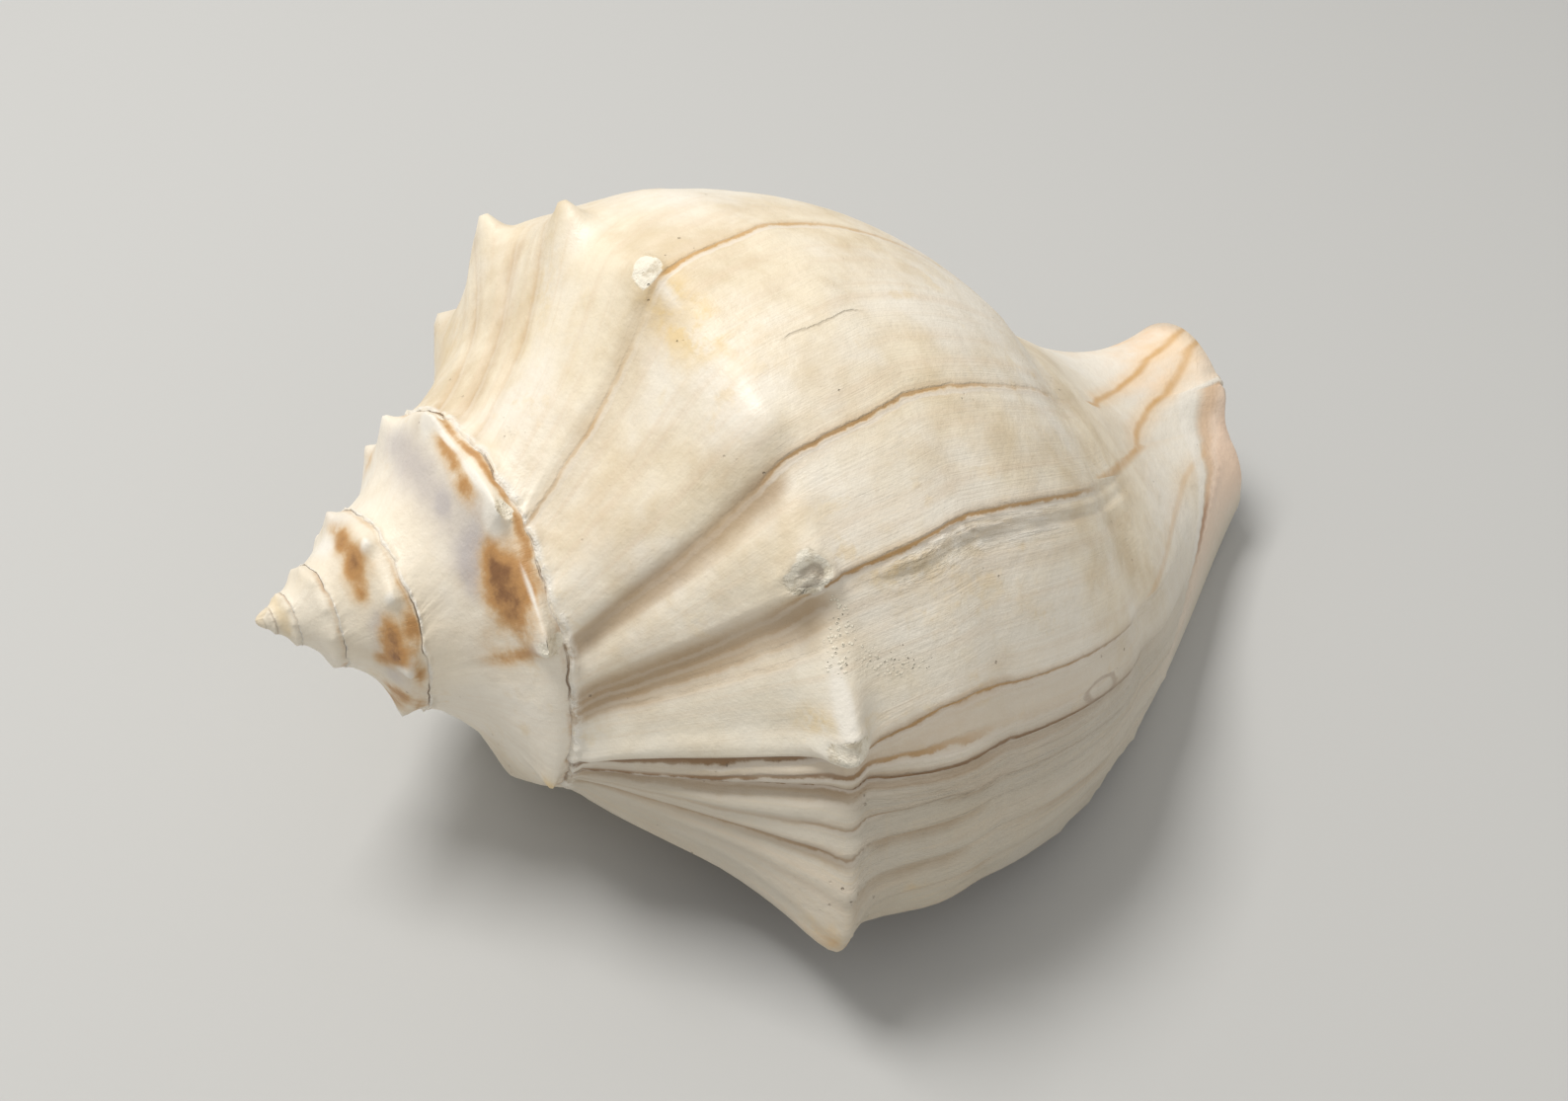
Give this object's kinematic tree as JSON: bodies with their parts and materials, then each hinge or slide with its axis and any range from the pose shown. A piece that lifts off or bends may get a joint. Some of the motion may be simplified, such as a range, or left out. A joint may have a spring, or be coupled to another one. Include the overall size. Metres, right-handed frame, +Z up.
{
  "type": "whelk shell",
  "caption": "Beach-worn knobbed whelk shell lying with its aperture down, one hollow coiled wall round a central pillar, with an open canal.",
  "frame": {"origin": "centre of the bounding box at the surface the shell lies on", "axes": "+X from the tip of the spire towards the canal end, -Y towards the outer lip, +Z up from the surface; the aperture faces down"},
  "size_m": [0.1548, 0.1028, 0.0813],
  "materials": {
    "shell": "worn cream and ivory shell, matt to satin, with orange-brown growth lines and chalky knob tips; the inside is smooth and pale peach"
  },
  "bodies": {
    "root": {"shell": "shell"}
  },
  "joints": []
}
